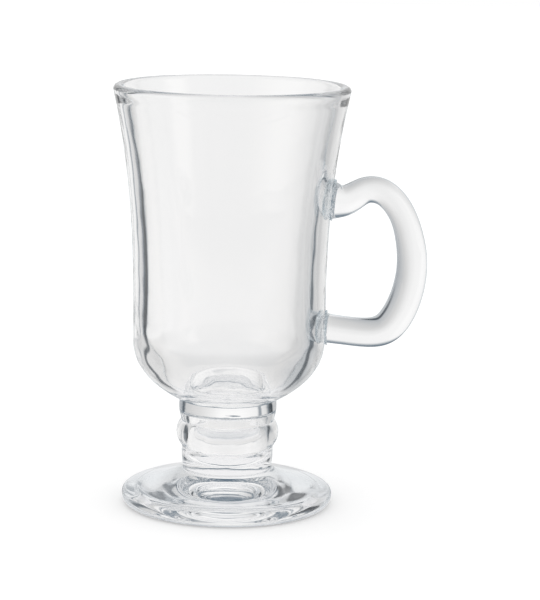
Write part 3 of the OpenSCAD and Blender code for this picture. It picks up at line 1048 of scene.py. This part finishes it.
# The ceiling is dark: the glass meets it where a ray runs steeply up
CEILING_MIRRORED = (0.12, 0.17, 0.22, 1)
CEILING_PASSED = (0.16, 0.21, 0.26, 1)
STEEP_MIRRORED = (0.5, 0.72)
STEEP_PASSED = (0.3, 0.55)


def ramp(tree, factor, stops):
    """Brightness by angle; its darker stops are a little blue, as the screens are."""
    made = node(tree, "ShaderNodeValToRGB")
    elements = made.color_ramp.elements
    while len(elements) > 1:
        elements.remove(elements[-1])
    for i, (angle, level) in enumerate(stops):
        spot = (angle + 180) / 360
        element = elements[0] if i == 0 else elements.new(spot)
        element.position = spot
        tinge = max(0.0, 1 - level * BLUE_BELOW)
        element.color = [level * mix(1, c, tinge) for c in SCREEN_BLUE] + [1]
    tree.links.new(factor, made.inputs["Fac"])
    return made.outputs["Color"]


def studio_group():
    """Brightness of the studio in a direction seen from the mug."""
    group = bpy.data.node_groups.new("studio brightness", "ShaderNodeTree")
    add_input(group, "Direction", "NodeSocketVector")
    group.interface.new_socket("Mirrored", in_out="OUTPUT", socket_type="NodeSocketColor")
    group.interface.new_socket("Passed", in_out="OUTPUT", socket_type="NodeSocketColor")
    group.interface.new_socket("Close", in_out="OUTPUT", socket_type="NodeSocketColor")
    way = node(group, "ShaderNodeSeparateXYZ")
    group.links.new(node(group, "NodeGroupInput").outputs["Direction"], way.inputs[0])
    x, y, z = way.outputs
    angle = math_node(group, "ARCTAN2", x, y)
    turn = math_node(group, "ADD", math_node(group, "DIVIDE", angle, math.tau), 0.5)
    out = node(group, "NodeGroupOutput")
    for name, stops, steep, ceiling in (
        ("Mirrored", MIRRORED, STEEP_MIRRORED, CEILING_MIRRORED),
        ("Passed", PASSED, STEEP_PASSED, CEILING_PASSED),
    ):
        above = smooth_step(group, z, *steep)
        group.links.new(blend(group, above, ramp(group, turn, stops), ceiling), out.inputs[name])
    group.links.new(ramp(group, turn, TABLE_CLOSE_SHADE), out.inputs["Close"])
    return group


STUDIO = studio_group()


def studio_seen(tree, direction):
    """The studio's brightness in a direction, and 1 where the ray was mirrored anywhere."""
    seen = node(tree, "ShaderNodeGroup", node_tree=STUDIO)
    tree.links.new(direction, seen.inputs[0])
    depth = node(tree, "ShaderNodeLightPath").outputs["Glossy Depth"]
    return seen, math_node(tree, "GREATER_THAN", depth, 0.5)


def studio_floor():
    """A white table that takes the mug's shadow for the camera. To the glass it glows with painted
    light, with painted shade close to the foot and towards the front.
    """
    mesh = bpy.data.meshes.new("table")
    corners = [(-1, -1), (1, -1), (1, 1), (-1, 1)]
    points = [(x * FLOOR_HALF, y * FLOOR_HALF, -FLOOR_GAP) for x, y in corners]
    mesh.from_pydata(points, [], [(0, 1, 2, 3)])
    floor = bpy.data.objects.new("table", mesh)
    bpy.context.scene.collection.objects.link(floor)
    material = bpy.data.materials.new("white table")
    material.use_nodes = True
    tree = material.node_tree
    link = tree.links.new
    shader = tree.nodes["Principled BSDF"]
    shader.inputs["Base Color"].default_value = TABLE_COLOUR
    shader.inputs["Roughness"].default_value = TABLE_ROUGHNESS
    shader.inputs["Specular IOR Level"].default_value = 0.0
    shader.inputs["Emission Color"].default_value = WHITE
    shader.inputs["Emission Strength"].default_value = TABLE_GLOW
    spot = node(tree, "ShaderNodeTexCoord").outputs["Object"]
    seen, mirrored = studio_seen(tree, spot)
    length = node(tree, "ShaderNodeVectorMath", operation="LENGTH")
    link(spot, length.inputs[0])
    far = smooth_step(tree, length.outputs["Value"], TABLE_NEAR, TABLE_FAR)
    beside = smooth_step(tree, length.outputs["Value"], UNDER_NEAR, UNDER_FAR)
    # Painted light under the foot, then painted shade close to it
    near_painted_light = blend(tree, beside, UNDER_LIGHT, seen.outputs["Close"])
    beyond = blend(tree, mirrored, seen.outputs["Passed"], seen.outputs["Mirrored"])
    table = blend(tree, far, near_painted_light, beyond)
    apart = node(tree, "ShaderNodeSeparateXYZ")
    link(spot, apart.inputs[0])
    before = math_node(tree, "MULTIPLY", apart.outputs["Y"], -1)
    front = smooth_step(tree, before, FRONT_NEAR, FRONT_FAR)
    in_front = smooth_step(tree, before, FRONT_START, FRONT_FULL)
    at_front = math_node(tree, "MULTIPLY", mirrored, in_front)
    # What the glass mirrors of the table darkens towards the front: painted shade
    painted_front_shade = blend(tree, front, FRONT_LIGHT, FRONT_SHADE)
    table = blend(tree, at_front, table, painted_front_shade)
    # The glass sees the table glow with this painted light and shade; the camera sees the lit white
    # table
    painted_table_light = node(tree, "ShaderNodeEmission")
    link(table, painted_table_light.inputs["Color"])
    either = node(tree, "ShaderNodeMixShader")
    link(node(tree, "ShaderNodeLightPath").outputs["Is Camera Ray"], either.inputs["Fac"])
    link(painted_table_light.outputs[0], either.inputs[1])
    link(shader.outputs[0], either.inputs[2])
    link(either.outputs[0], tree.nodes["Material Output"].inputs["Surface"])
    mesh.materials.append(material)


studio_floor()


def studio_world():
    """White for the camera and as light, and the studio for what the glass shows."""
    world = bpy.data.worlds.new("studio")
    bpy.context.scene.world = world
    world.use_nodes = True
    tree = world.node_tree
    link = tree.links.new
    ground = tree.nodes["Background"]
    seen, mirrored = studio_seen(tree, node(tree, "ShaderNodeTexCoord").outputs["Generated"])
    glass_sees = blend(tree, mirrored, seen.outputs["Passed"], seen.outputs["Mirrored"])
    path = node(tree, "ShaderNodeLightPath")
    glossy, passing = path.outputs["Is Glossy Ray"], path.outputs["Is Transmission Ray"]
    glassy = math_node(tree, "MAXIMUM", glossy, passing)
    link(blend(tree, glassy, WHITE, glass_sees), ground.inputs["Color"])
    ground.inputs["Strength"].default_value = 1.0


studio_world()

# The camera stands where the photo's did, found by fitting the ellipses of the lip, the
# stem and the foot. It looks a little down and is turned a little.
CAMERA_PLACE = (14.02 * MM, -815.9 * MM, 220.9 * MM)
CAMERA_DOWN = math.radians(10.359)
CAMERA_ROLL = math.radians(1.019)
CAMERA_LENS = 144.19
SENSOR_W = 36
lens = bpy.data.cameras.new("photo view")
lens.lens = CAMERA_LENS
lens.sensor_width = SENSOR_W
camera = bpy.data.objects.new("photo view", lens)
bpy.context.scene.collection.objects.link(camera)
camera.matrix_world = (
    Matrix.Translation(CAMERA_PLACE)
    @ Matrix.Rotation(math.pi / 2 - CAMERA_DOWN, 4, "X")
    @ Matrix.Rotation(CAMERA_ROLL, 4, "Z")
)
scene = bpy.context.scene
scene.camera = camera
scene.view_settings.view_transform = "Standard"

# Light runs on inside thick glass for this many turns before it gets out
LONG_PATH = 96
scene.cycles.max_bounces = LONG_PATH
scene.cycles.glossy_bounces = LONG_PATH
scene.cycles.transmission_bounces = LONG_PATH
scene.cycles.transparent_max_bounces = LONG_PATH
scene.cycles.diffuse_bounces = 1
scene.cycles.caustics_reflective = False
scene.cycles.caustics_refractive = False
